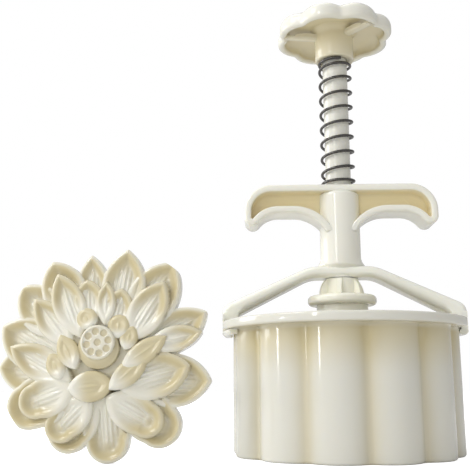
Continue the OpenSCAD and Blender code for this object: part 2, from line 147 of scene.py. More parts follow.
class CoilSettings(bpy.types.PropertyGroup):
    outer_d: lengths("Diameter", "Outer diameter of the spring, mm", 11.5)
    wire_d: lengths("Wire", "Diameter of the wire, mm", 0.95)
    open_curls: FloatProperty(name="Open curls", description="Curls between the end curls",
                              default=7.8, min=1, max=30)
    end_pitch: lengths("End pitch", "Pitch of the curl at each end, mm", 1.5)


class StampSettings(bpy.types.PropertyGroup):
    left: lengths("Left", "Distance of the stamp to the left of the press axis, mm", 70.7)
    front: lengths("Front", "Distance of the stamp's back in front of the axis, mm", 26.0)
    reach: lengths("Reach", "Largest radius that a petal reaches, mm", 31.2)
    outer_h: lengths("Outer petals", "Height of the outer petals above the back, mm", 5.2)
    layer_step: lengths("Layer step", "Step from one layer of petals to the next, mm", 1.8)
    scoop: lengths("Scoop", "Depth of the hollow in a petal, mm", 2.3)
    edge_w: lengths("Petal edge", "Width of the raised edge of a petal, mm", 1.5)
    pod_r: lengths("Seed pod", "Radius of the seed pod, mm", 4.8)
    socket_r: lengths("Socket", "Radius of the socket at the back, mm", 6.05)
    socket_l: lengths("Socket depth", "Depth of the socket, mm", 9.8)
    boss_r: lengths("Boss", "Outer radius of the socket, mm", 8.3)


class StageSettings(bpy.types.PropertyGroup):
    ivory: FloatVectorProperty(name="Ivory", description="Colour of the lit plastic",
                               subtype="COLOR", default=(0.80, 0.785, 0.70), size=3)
    # painted shade: this colour stands for the shade in hollows, under the rim and inside the knob
    painted_shade: FloatVectorProperty(name="Honey", description="Colour of the plastic in hollows",
                               subtype="COLOR", default=(0.72, 0.625, 0.375), size=3)
    steel: FloatVectorProperty(name="Steel", description="Colour of the spring wire",
                               subtype="COLOR", default=(0.11, 0.105, 0.10), size=3)
    zinc: FloatVectorProperty(name="Zinc", description="Colour of the screw and its washer",
                              subtype="COLOR", default=(0.62, 0.62, 0.60), size=3)
    floor: FloatVectorProperty(name="Floor", description="Colour of the floor",
                               subtype="COLOR", default=(0.80, 0.80, 0.80), size=3)


# ------------------------------------------------------------- mesh building


def smoothstep(t):
    t = np.clip(t, 0.0, 1.0)
    return t * t * (3 - 2 * t)


def arc(cx, cy, r, start, stop, steps):
    """Points of an arc, angles in degrees, both ends included."""
    a = np.radians(np.linspace(start, stop, steps + 1))
    return np.column_stack([cx + r * np.cos(a), cy + r * np.sin(a)])


class Shell:
    """Collects grids and faces, and turns them into one smooth-shaded object."""

    def __init__(self):
        self.points, self.faces, self.hollows, self.count = [], [], [], 0

    def add(self, points, faces, hollow=0.0):
        points = np.asarray(points, float).reshape(-1, 3)
        self.points.append(points)
        self.hollows.append(np.broadcast_to(np.asarray(hollow, float), len(points)).ravel())
        self.faces += [tuple(int(i) + self.count for i in f) for f in faces]
        self.count += len(points)

    def grid(self, rows, closed_v=False, hollow=0.0):
        """Grid of points rows[v][u]. Each row is a ring; closed_v joins the last to the first."""
        rows = np.asarray(rows, float)
        nv, nu = rows.shape[:2]
        faces = [(v * nu + u, v * nu + (u + 1) % nu,
                  (v + 1) % nv * nu + (u + 1) % nu, (v + 1) % nv * nu + u)
                 for v in range(nv if closed_v else nv - 1) for u in range(nu)]
        if np.ndim(hollow) == 1:
            hollow = np.repeat(np.asarray(hollow, float)[:, None], nu, 1)
        self.add(rows, faces, np.broadcast_to(hollow, (nv, nu)).ravel())

    def cap(self, ring, flip=False, hollow=0.0):
        order = range(len(ring))
        self.add(ring, [tuple(reversed(order)) if flip else tuple(order)], hollow)

    def build(self, name, sharp=40.0):
        mesh = bpy.data.meshes.new(name)
        points = np.vstack(self.points) * MM
        mesh.from_pydata(points.tolist(), [], self.faces)
        # the hollow attribute holds each point's share of painted shade
        layer = mesh.attributes.new("hollow", "FLOAT", "POINT")
        layer.data.foreach_set("value", np.concatenate(self.hollows).astype(np.float32))
        tidy_mesh(mesh)
        obj = bpy.data.objects.new(name, mesh)
        bpy.context.scene.collection.objects.link(obj)
        mesh.shade_smooth()
        mesh.set_sharp_from_angle(angle=math.radians(sharp))
        return obj


def tidy_mesh(mesh):
    """Joins points that coincide, drops empty faces and turns all faces outwards."""
    work = bmesh.new()
    work.from_mesh(mesh)
    bmesh.ops.remove_doubles(work, verts=work.verts, dist=2e-6)
    bmesh.ops.dissolve_degenerate(work, edges=work.edges, dist=1e-7)
    bmesh.ops.recalc_face_normals(work, faces=work.faces)
    work.to_mesh(mesh)
    work.free()


def revolve(profile, steps=96):
    """Rows of points for a profile of (radius, z) turned about the axis."""
    a = np.linspace(0, 2 * np.pi, steps, endpoint=False)
    return [[(r * math.cos(t), r * math.sin(t), z) for t in a] for r, z in profile]


def offset(samples, inset):
    """Points of an outline moved inwards, by one inset or by one for each point.

    A sample is an arc's centre, a direction, the arc's radius and a sign, -1 for a hollow arc."""
    centre, direction, radius, sign = np.split(samples, [2, 4, 5], axis=1)
    return centre + (radius - sign * np.reshape(inset, (-1, 1))) * direction


def slab(shell, outline, y0, y1, edge, lift, steps=4):
    """Outline in (x, z), given anticlockwise, made solid from y0 to y1 with round edges.

    The edge is the inset of the rounding, one value or one per point; lift is its depth."""
    pts = np.asarray(outline, float)
    ahead = np.roll(pts, -1, 0) - pts
    ahead /= np.maximum(np.linalg.norm(ahead, axis=1), 1e-9)[:, None]
    behind = np.roll(ahead, 1, 0)
    out = np.column_stack([ahead[:, 1] + behind[:, 1], -ahead[:, 0] - behind[:, 0]])
    out = out * 2 / np.maximum((out ** 2).sum(1), 1.0)[:, None]
    inset = np.broadcast_to(np.asarray(edge, float), len(pts))[:, None]
    quarter = np.linspace(0, math.pi / 2, steps + 1)
    rows = []
    for face_y, way, turn in ((y0, 1, quarter[::-1]), (y1, -1, quarter)):
        for t in turn:
            ring = pts - out * inset * (1 - math.cos(t))
            y = face_y + way * lift * (1 - math.sin(t))
            rows.append(np.column_stack([ring[:, 0], np.full(len(ring), y), ring[:, 1]]))
    shell.grid(rows)
    shell.cap(rows[0], flip=True)
    shell.cap(rows[-1])


# ----------------------------------------------------------------- materials


def node_group(name, inputs, outputs):
    """Empty shader node group with its sockets."""
    tree = bpy.data.node_groups.new(name, "ShaderNodeTree")
    for label, kind, value in inputs:
        socket = tree.interface.new_socket(name=label, in_out="INPUT", socket_type=kind)
        if value is not None:
            socket.default_value = value
    for label, kind in outputs:
        tree.interface.new_socket(name=label, in_out="OUTPUT", socket_type=kind)
    return tree, tree.nodes.new("NodeGroupInput"), tree.nodes.new("NodeGroupOutput")


def maths(tree, operation, first, second, clamp=False):
    """Output of a maths node; first and second are sockets or plain numbers."""
    node = tree.nodes.new("ShaderNodeMath")
    node.operation, node.use_clamp = operation, clamp
    for socket, source in zip(node.inputs, (first, second)):
        if isinstance(source, (int, float)):
            socket.default_value = source
        else:
            tree.links.new(source, socket)
    return node.outputs[0]


def noise(tree, scale, detail, roughness=0.5):
    """Output of a noise in the piece's own space; scale is a socket."""
    place = tree.nodes.new("ShaderNodeTexCoord")
    cloud = tree.nodes.new("ShaderNodeTexNoise")
    cloud.inputs["Detail"].default_value = detail
    cloud.inputs["Roughness"].default_value = roughness
    tree.links.new(place.outputs["Object"], cloud.inputs["Vector"])
    tree.links.new(scale, cloud.inputs["Scale"])
    return cloud.outputs["Fac"]


def make_shade_and_marks():
    """Painted shade in hollows that deepens the colour to a warm yellow, with faint flow marks of the
    moulding.
    """
    tree, start, end = node_group(
        "press_hollow_colour",
        [("Lit", "NodeSocketColor", (0.8, 0.8, 0.7, 1)),
         ("Deep", "NodeSocketColor", (0.7, 0.6, 0.3, 1)),
         ("Marks", "NodeSocketFloat", 0.06), ("Scale", "NodeSocketFloat", 90.0)],
        [("Color", "NodeSocketColor"), ("Mask", "NodeSocketFloat")])
    hollow = tree.nodes.new("ShaderNodeAttribute")
    hollow.attribute_name = "hollow"
    cloud = noise(tree, start.outputs["Scale"], 4.0, 0.6)
    spread = maths(tree, "MULTIPLY", maths(tree, "SUBTRACT", cloud, 0.5), start.outputs["Marks"])
    mask = maths(tree, "ADD", hollow.outputs["Fac"], spread, clamp=True)
    mix = tree.nodes.new("ShaderNodeMix")
    mix.data_type = "RGBA"
    tree.links.new(mask, mix.inputs["Factor"])
    tree.links.new(start.outputs["Lit"], mix.inputs["A"])
    tree.links.new(start.outputs["Deep"], mix.inputs["B"])
    tree.links.new(mix.outputs["Result"], end.inputs["Color"])
    tree.links.new(mask, end.inputs["Mask"])
    return tree


def make_fine_height():
    """Two noises as one height, for the faint waviness and scuffs of a moulded face."""
    tree, start, end = node_group(
        "press_fine_height",
        [("Wave Scale", "NodeSocketFloat", 120.0), ("Scuff Scale", "NodeSocketFloat", 1500.0),
         ("Scuffs", "NodeSocketFloat", 0.15)],
        [("Height", "NodeSocketFloat"), ("Scuff", "NodeSocketFloat")])
    wave = noise(tree, start.outputs["Wave Scale"], 1.0)
    scuff = noise(tree, start.outputs["Scuff Scale"], 3.0)
    fine = maths(tree, "MULTIPLY", scuff, start.outputs["Scuffs"])
    tree.links.new(maths(tree, "ADD", wave, fine), end.inputs["Height"])
    tree.links.new(scuff, end.inputs["Scuff"])
    return tree


def make_roughness_range():
    """Maps a mask to a roughness between two values."""
    tree, start, end = node_group(
        "press_roughness",
        [("Mask", "NodeSocketFloat", 0.5), ("Smooth", "NodeSocketFloat", 0.15),
         ("Rough", "NodeSocketFloat", 0.3)],
        [("Roughness", "NodeSocketFloat")])
    nodes, links = tree.nodes, tree.links
    span = nodes.new("ShaderNodeMapRange")
    span.inputs["From Min"].default_value = 0.3
    span.inputs["From Max"].default_value = 0.7
    links.new(start.outputs["Mask"], span.inputs["Value"])
    links.new(start.outputs["Smooth"], span.inputs["To Min"])
    links.new(start.outputs["Rough"], span.inputs["To Max"])
    links.new(span.outputs["Result"], end.inputs["Roughness"])
    return tree


def shared(name):
    """Node group by name, built once."""
    makers = {"press_hollow_colour": make_shade_and_marks, "press_fine_height": make_fine_height,
              "press_roughness": make_roughness_range}
    return bpy.data.node_groups.get(name) or makers[name]()


def group_node(tree, name, **values):
    node = tree.nodes.new("ShaderNodeGroup")
    node.node_tree = shared(name)
    for label, value in values.items():
        node.inputs[label.replace("_", " ")].default_value = value
    return node


def surface(name, lit, deep, smooth, rough, wave, bump, **marking):
    """Material with the colour, gloss and fine relief that every finish here has."""
    material = bpy.data.materials.new(name)
    material.use_nodes = True
    tree = material.node_tree
    shader = tree.nodes["Principled BSDF"]
    colour = group_node(tree, "press_hollow_colour", Lit=(*lit, 1), Deep=(*deep, 1), **marking)
    height = group_node(tree, "press_fine_height", Wave_Scale=wave)
    gloss = group_node(tree, "press_roughness", Smooth=smooth, Rough=rough)
    relief = tree.nodes.new("ShaderNodeBump")
    relief.inputs["Strength"].default_value = 1.0
    relief.inputs["Distance"].default_value = bump * MM
    tree.links.new(colour.outputs["Color"], shader.inputs["Base Color"])
    tree.links.new(height.outputs["Scuff"], gloss.inputs["Mask"])
    tree.links.new(gloss.outputs["Roughness"], shader.inputs["Roughness"])
    tree.links.new(height.outputs["Height"], relief.inputs["Height"])
    tree.links.new(relief.outputs["Normal"], shader.inputs["Normal"])
    return material, shader


def plastic(name, lit, deep, smooth, rough, wave, bump=0.03):
    """Glossy moulded plastic that lets a little light through."""
    material, shader = surface(name, lit, deep, smooth, rough, wave, bump, Marks=0.1)
    body = {"IOR": 1.5, "Subsurface Weight": 0.12, "Subsurface Radius": (1.0, 0.8, 0.45),
            "Subsurface Scale": 0.0015, "Coat Weight": 0.25, "Coat Roughness": 0.08}
    for label, value in body.items():
        shader.inputs[label].default_value = value
    return material


def metal(name, colour, smooth, rough, wave, bump):
    """Drawn or plated steel with fine scuffs."""
    dark = [c * 0.55 for c in colour]
    material, shader = surface(name, colour, dark, smooth, rough, wave, bump,
                               Marks=0.9, Scale=600.0)
    shader.inputs["Metallic"].default_value = 1.0
    return material


def finish_material(name):
    """Material of the press by name, made when it is first asked for."""
    ready = bpy.data.materials.get(name)
    if ready:
        return ready
    look = bpy.context.scene.press_stage
    ivory, painted_shade = tuple(look.ivory), tuple(look.painted_shade)

    def shade(colour, k):
        return tuple(min(c * k, 0.95) for c in colour)

    # lit and shaded copies of one ivory, which is painted light: the yoke, grip, plunger foot and
    # stamp are brightened, the yoke and foot most because they sit in shade, and the barrel and rod
    # are darkened
    makers = {
        "barrel_plastic": lambda: plastic(name, shade(ivory, 0.93), shade(painted_shade, 0.86),
                                          0.07, 0.16, wave=70.0),
        "grip_plastic": lambda: plastic(name, shade(ivory, 1.1), shade(painted_shade, 1.18),
                                        0.09, 0.2, wave=140.0),
        "yoke_plastic": lambda: plastic(name, shade(ivory, 1.2), shade(painted_shade, 1.18),
                                        0.09, 0.2, wave=140.0),
        "foot_plastic": lambda: plastic(name, (0.95, 0.93, 0.80), painted_shade, 0.12, 0.22,
                                        wave=140.0),
        "knob_plastic": lambda: plastic(name, ivory, painted_shade, 0.16, 0.27, wave=160.0),
        "rod_plastic": lambda: plastic(name, shade(ivory, 0.95), painted_shade, 0.18, 0.3, wave=160.0),
        "stamp_plastic": lambda: plastic(name, shade(ivory, 1.06), shade(painted_shade, 0.90),
                                         0.1, 0.2, wave=260.0, bump=0.02),
        "spring_wire": lambda: metal(name, tuple(look.steel), 0.2, 0.38, 900.0, 0.01),
        "zinc_plate": lambda: metal(name, tuple(look.zinc), 0.28, 0.45, 600.0, 0.01),
    }
    return makers[name]()


def dress(obj, material, body, slot, *nodes):
    """Gives a piece its material and its body, and hides the nodes that it stands for; the slot is
    not used.
    """
    obj.data.materials.clear()
    obj.data.materials.append(finish_material(material))
    if nodes:
        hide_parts(*nodes)
    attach(obj, body)
    return obj


# -------------------------------------------------------------------- barrel


def flute_samples(s):
    """Samples of the fluted outline, anticlockwise, as offset() takes them."""
    lobe_steps, fillet_steps = 26, 10
    step = 360 / s.flutes
    axis_r = s.crest_r - s.lobe_r
    half = math.radians(step / 2)
    fillet_axis = axis_r * math.cos(half) + math.sqrt(
        (s.lobe_r + s.fillet_r) ** 2 - (axis_r * math.sin(half)) ** 2)
    samples = []
    for i in range(s.flutes):
        a = math.radians(s.turn + 90 + step * (i + 0.5))
        lobe = np.array([math.cos(a), math.sin(a)]) * axis_r
        b = a + half
        gap = np.array([math.cos(b), math.sin(b)]) * fillet_axis
        lean = math.atan2(*(gap - lobe)[::-1])
        lean = (lean - a + math.pi) % (2 * math.pi) - math.pi
        for k in range(lobe_steps):
            t = a - lean + 2 * lean * k / lobe_steps
            samples.append((*lobe, math.cos(t), math.sin(t), s.lobe_r, 1))
        start = a + lean + math.pi
        sweep = 2 * (b + math.pi - start)
        for k in range(fillet_steps):
            t = start + sweep * k / fillet_steps
            samples.append((*gap, math.cos(t), math.sin(t), s.fillet_r, -1))
    return np.array(samples)


def notch_edges(leg_half):
    """Angles at which the rim's two slots begin and end, in degrees."""
    slack = 0.5
    start, stop = -leg_half - LOCK_TURN - 2 * slack, leg_half + slack
    return [((start + side) % 360, (stop + side) % 360) for side in (0, 180)]


def slotted_rim(base, grip_depth):
    """Radius and direction of the rim for each point of the flutes, with its two slots."""
    bearing = np.degrees(np.arctan2(base[:, 1], base[:, 0])) % 360
    leg_half = math.degrees(math.asin(grip_depth / 2 / (RIM_R - LEG_T)))
    rim = np.full(len(base), RIM_R)
    crisp = 0.05
    for start, stop in notch_edges(leg_half):
        inside = (bearing - start) % 360 <= (stop - start) % 360
        rim[inside] = RIM_R - LEG_T - LOCK_GAP
        # at each end of the slot the nearest point on either side moves to it, for a steep wall
        for edge in (start, stop):
            away = (bearing - edge + 180) % 360 - 180
            before, after = np.where(away < 0)[0], np.where(away >= 0)[0]
            bearing[before[np.argmax(away[before])]] = edge - crisp
            bearing[after[np.argmin(away[after])]] = edge + crisp
    turn = np.radians(bearing)
    return rim, np.column_stack([np.cos(turn), np.sin(turn)])


class PRESS_OT_barrel(bpy.types.Operator):
    """Fluted barrel with its rim and the two slots of the twist lock"""
    bl_idname = "press.barrel"
    bl_label = "Barrel"

    def execute(self, context):
        s = context.scene.press_barrel
        samples = flute_samples(s)
        base = offset(samples, 0)
        reach = np.linalg.norm(base, axis=1)
        rim, ray = slotted_rim(base, context.scene.press_grip.depth)
        rim_z = RIM_TOP - s.rim_t
        valley_depth, flare_h, mouth_r, inner_foot_r = 3.4, 0.8, 0.5, 0.7
        # painted shade in the flutes' valleys, growing with their depth below the crests
        dip = np.clip((s.crest_r - reach) / valley_depth, 0, 1) ** 1.8
        rows, hollow = [], []

        def add(ring, z, shade):
            rows.append(np.column_stack([ring, np.full(len(ring), z)]))
            hollow.append(np.broadcast_to(shade, len(ring)))

        for x, z in arc(s.foot_r, s.foot_r, s.foot_r, 270, 180, 5):
            add(offset(samples, x), z, dip)
        # below the rim the flutes carry painted shade, the rim's shadow
        for z in np.linspace(2, rim_z - 1.5, 20):
            band = float(smoothstep((z - rim_z + 16) / 15))
            add(base, z, dip * (1 - 0.3 * band) + 0.75 * band)
        # under the rim, on the rim's underside and inside the mouth and foot the rows carry painted
        # shade as well
        flare = np.maximum(np.minimum(flare_h, (rim - s.edge_r - reach) * 0.6), 0.01)
        for t in np.linspace(0, math.pi / 2, 5):
            add(offset(samples, -flare * (1 - math.cos(t))),
                rim_z - flare_h + flare_h * math.sin(t), 0.6 + 0.2 * dip)
        under = arc(-s.edge_r, rim_z + s.edge_r, s.edge_r, 270, 360, 4)
        for (x, z), shade in zip(under, np.linspace(0.25, 0, len(under))):
            add((rim + x)[:, None] * ray, z, shade)
        for x, z in arc(-s.edge_r, RIM_TOP - s.edge_r, s.edge_r, 0, 90, 4):
            add((rim + x)[:, None] * ray, z, 0.0)
        for x, z in arc(s.wall - mouth_r, RIM_TOP - mouth_r, mouth_r, 90, 0, 4):
            add(offset(samples, x), z, 0.15)
        for x, z in arc(s.wall - inner_foot_r, inner_foot_r, inner_foot_r, 0, -90, 4):
            add(offset(samples, x), z, 0.55)
        shell = Shell()
        shell.grid(rows, closed_v=True, hollow=hollow)
        barrel = shell.build("barrel_shell")
        dress(barrel, "barrel_plastic", "barrel", "ivory_body", "barrel")
        return {"FINISHED"}


# ---------------------------------------------------------------------- grip


def wing_outline(s):
    """Samples of the outline of both wings in (x, z), clockwise, as offset() takes them."""
    half = s.width / 2
    tip = (half - s.tip_r, GRIP_TOP - s.tip_drop + s.tip_r)
    corner = (half - s.corner_r, GRIP_TOP - s.corner_r)
    arch = GRIP_TOP - s.arch_drop
    hook_r, flank_r, flank_x, flank_stop = 8.0, 12.0, 15.5, 152
    reach = hook_r + s.tip_r
    hook = (tip[0] - math.sqrt(reach ** 2 - (tip[1] - arch + hook_r) ** 2), arch - hook_r)
    flank = (flank_x, arch - flank_r)
    lean = math.degrees(math.atan2(hook[1] - tip[1], hook[0] - tip[0]))
    parts = []

    def bend(centre, r, start, stop, sign, steps):
        for a in np.radians(np.linspace(start, stop, steps + 1)):
            parts.append((*centre, math.cos(a), math.sin(a), r, sign))

    # from the middle of the top over the right wing to the column
    for x in np.linspace(0, corner[0], 12, endpoint=False):
        parts.append((x, GRIP_TOP, 0, 1, 0, 1))
    bend(corner, s.corner_r, 90, 0, 1, 16)
    bend(tip, s.tip_r, 0, lean, 1, 16)
    bend(hook, hook_r, lean + 180, 90, -1, 10)
    bend(flank, flank_r, 90, flank_stop, -1, 14)
    right = np.array(parts)
    left = right[1:][::-1] * np.array([-1, 1, -1, 1, 1, 1])
    return np.vstack([right, left])


def yoke_outline(s):
    """Outline of the yoke in (x, z), anticlockwise, with its feet on the rim."""
    top, sole, bend_r = RIM_TOP + s.yoke_rise, RIM_TOP + 0.3, 14.0
    outer_slope, inner_slope = 24.0, 27.0
    outer_end = np.array([RIM_R - 1, RIM_TOP + 5.4])
    inner_end = np.array([RIM_R - 5.6, RIM_TOP + 2.2])

    def arm(z, slope, r, end):
        """Bend beside the column, and the straight run from it to the foot."""
        lean = math.radians(slope)
        run_x = end[0] - (z - r * (1 - math.cos(lean)) - end[1]) / math.tan(lean)
        bend = arc(run_x - r * math.sin(lean), z - r, r, 90, 90 - slope, 8)
        return bend, [bend[-1] + (end - bend[-1]) * t for t in np.linspace(0.1, 1, 10)]

    outer, outer_run = arm(top, outer_slope, bend_r, outer_end)
    inner, inner_run = arm(top - s.yoke_t, inner_slope, bend_r - s.yoke_t, inner_end)
    # the outer corner of the foot is rounded by a curve with its handle in the sharp corner
    corner = np.array([RIM_R, outer_end[1] - math.tan(math.radians(outer_slope))])
    first, last = outer_run[-1] * 0.4 + outer_run[-2] * 0.6, corner - (0, 2.4)
    bent = [first * (1 - t) ** 2 + corner * 2 * t * (1 - t) + last * t ** 2
            for t in np.linspace(0, 1, 8)]
    half = np.vstack([outer, outer_run[:-1], bent, [[RIM_R, sole], [inner_end[0], sole]],
                      inner_run[::-1], inner[::-1]])
    # clockwise half on the right, mirrored on the left, then turned anticlockwise
    left = half[::-1] * np.array([-1, 1])
    return np.vstack([half, left])[::-1]


class PRESS_OT_grip(bpy.types.Operator):
    """Finger grip, column and yoke with the hooked feet of the twist lock"""
    bl_idname = "press.grip"
    bl_label = "Grip and yoke"

    def execute(self, context):
        s, barrel = context.scene.press_grip, context.scene.press_barrel
        shell = Shell()
        self.wings(shell, s)
        self.column(shell, s)
        grip = shell.build("grip_and_column", sharp=50)
        dress(grip, "grip_plastic", "handle", "ivory_grip", "handle_frame")
        # the yoke is a piece of its own so that it gets a brighter copy of the grip's plastic, which
        # is painted light
        shell = Shell()
        self.yoke(shell, s)
        for side in (0, 180):
            self.hook(shell, s, barrel, side)
        yoke = shell.build("yoke_and_feet", sharp=50)
        dress(yoke, "yoke_plastic", "handle", "ivory_grip", "handle_frame")
        return {"FINISHED"}

    def wings(self, shell, s):
        """Two halves, front and back: the flange round the wings, filleted to their web."""
        samples = wing_outline(s)
        base = offset(samples, 0)
        half, edge, inner, web_y = s.depth / 2, s.edge_r, s.flange, s.web / 2
        soft, fillet = 0.6, 1.3
        # the fillet fades out near the tips, where the pocket is too narrow for it
        tip = np.array([s.width / 2 - s.tip_r, GRIP_TOP - s.tip_drop + s.tip_r])
        near = np.minimum(np.linalg.norm(base - tip, axis=1),
                          np.linalg.norm(base - tip * (-1, 1), axis=1))
        room = smoothstep((near - 3.2) / 7.0)
        brim = [(0.0, 0.0), *arc(edge, half - edge, edge, 180, 90, 5),
                *arc(inner - soft, half - soft, soft, 90, 0, 4)]

        def ring(inset, y):
            points = offset(samples, inset)
            return np.column_stack([points[:, 0], np.full(len(points), y), points[:, 1]])

        for front in (-1, 1):
            rows = [ring(w, front * y) for w, y in brim]
            # painted shade in the pocket, deepening from the flange to the web
            hollow = [0.0 if w < inner - 0.1 else 0.35 for w, _ in brim]
            for a in np.radians(np.linspace(0, 90, 5)):
                inset = inner + fillet * (1 - math.cos(a)) * room
                rows.append(ring(inset, front * (web_y + fillet * (1 - math.sin(a)))))
                hollow.append(0.75 + 0.2 * math.sin(a))
            shell.grid(rows, hollow=hollow)
            shell.cap(rows[-1], flip=front > 0, hollow=0.95)

    def column(self, shell, s):
        """Round column; its ends draw in so that the bands of wings and yoke pass in front."""
        yoke_top, low = RIM_TOP + s.yoke_rise, RIM_TOP + s.yoke_rise - s.yoke_t + 0.05
        top, bore, slim = GRIP_TOP - 0.02, ROD_R + 0.1, s.depth / 2 - 0.35
        step = s.column_r - slim
        waist, neck = yoke_top - 0.9, top - s.flange - 0.7
        top_r, bore_r = 0.8, 0.4
        profile = [(bore, low), (slim, low), (slim, waist)]
        profile += [(slim + step * float(smoothstep(t)), waist + 1.5 * t)
                    for t in np.linspace(0, 1, 7)[1:]]
        profile += [(s.column_r, z) for z in np.linspace(yoke_top + 0.8, neck, 24)]
        profile += [(s.column_r - step * float(smoothstep(t)), neck + 1.6 * t)
                    for t in np.linspace(0, 1, 7)[1:]]
        profile += list(arc(slim - top_r, top - top_r, top_r, 0, 90, 5))
        profile += list(arc(bore + bore_r, top - bore_r, bore_r, 90, 180, 4)) + [(bore, low)]
        rows = np.array(revolve(profile, 96))
        # the foot of the column widens along the yoke
        blend_h, blend_w = 3.6, 2.2
        rise = (rows[:, :, 2] - yoke_top + 0.5) / blend_h
        flare = np.where((rise > -0.2) & (rise < 1), (1 - np.clip(rise, 0, 1)) ** 2 * blend_w, 0)
        outer = np.hypot(rows[:, :, 0], rows[:, :, 1]) > slim - 0.01
        across = (rows[:, :, 0] / s.column_r) ** 2
        rows[:, :, 0] += np.where(outer, np.sign(rows[:, :, 0]) * flare * across, 0)
        shell.grid(rows)

    def yoke(self, shell, s):
        """Yoke with rounded arms; its feet end on the rim's circle."""
        part = Shell()
        outline = yoke_outline(s)
        edge = np.interp(np.abs(outline[:, 0]), [0, 12, 20, RIM_R - 4], [1.3, 1.5, 1.8, 2.1])
        edge = np.where(outline[:, 1] < RIM_TOP + 3.2, 0.5, edge)
        slab(part, outline, -s.depth / 2, s.depth / 2, edge, 2.6, steps=8)
        for points in part.points:
            reach = np.hypot(points[:, 0], points[:, 1])
            over = reach > RIM_R
            points[over, 0] = (np.sign(points[over, 0])
                               * np.sqrt(RIM_R ** 2 - points[over, 1] ** 2))
        shell.add(np.vstack(part.points), part.faces, np.concatenate(part.hollows))

    def hook(self, shell, s, barrel, side):
        """Leg in the rim's slot at 0 or 180 degrees, and the lip on it that lies under the rim."""
        lip_t, soft = 1.5, 0.3
        lip_top = RIM_TOP - barrel.rim_t - LOCK_GAP
        lip_z = lip_top - lip_t
        inner_leg = RIM_R - LEG_T

        def block(r0, r1, z0, z1, a0, a1, slope=0.0):
            turn = np.radians(np.linspace(a0, a1, 14) + side)
            ring = [(r0 + soft, z0), (r1 - soft - slope, z0), (r1 - slope, z0 + soft),
                    (r1, z0 + soft + slope), (r1, z1 - soft), (r1 - soft, z1),
                    (r0 + soft, z1), (r0, z1 - soft), (r0, z0 + soft)]
            rows = [[(r * math.cos(t), r * math.sin(t), z) for r, z in ring] for t in turn]
            # a little painted shade on the leg and the lip
            shell.grid(rows, hollow=0.1)
            shell.cap(rows[0], flip=True, hollow=0.1)
            shell.cap(rows[-1], hollow=0.1)

        wide = math.degrees(math.asin(s.depth / 2 / inner_leg))
        narrow = math.degrees(math.asin(s.depth / 2 / RIM_R))
        block(inner_leg, RIM_R - 0.05, lip_z + 0.4, RIM_TOP + 1.6, -narrow, narrow)
        block(barrel.crest_r + LOCK_GAP, RIM_R, lip_z, lip_top, -wide, wide + LOCK_TURN, slope=0.4)


# ---------------------------------------------------------------------- knob


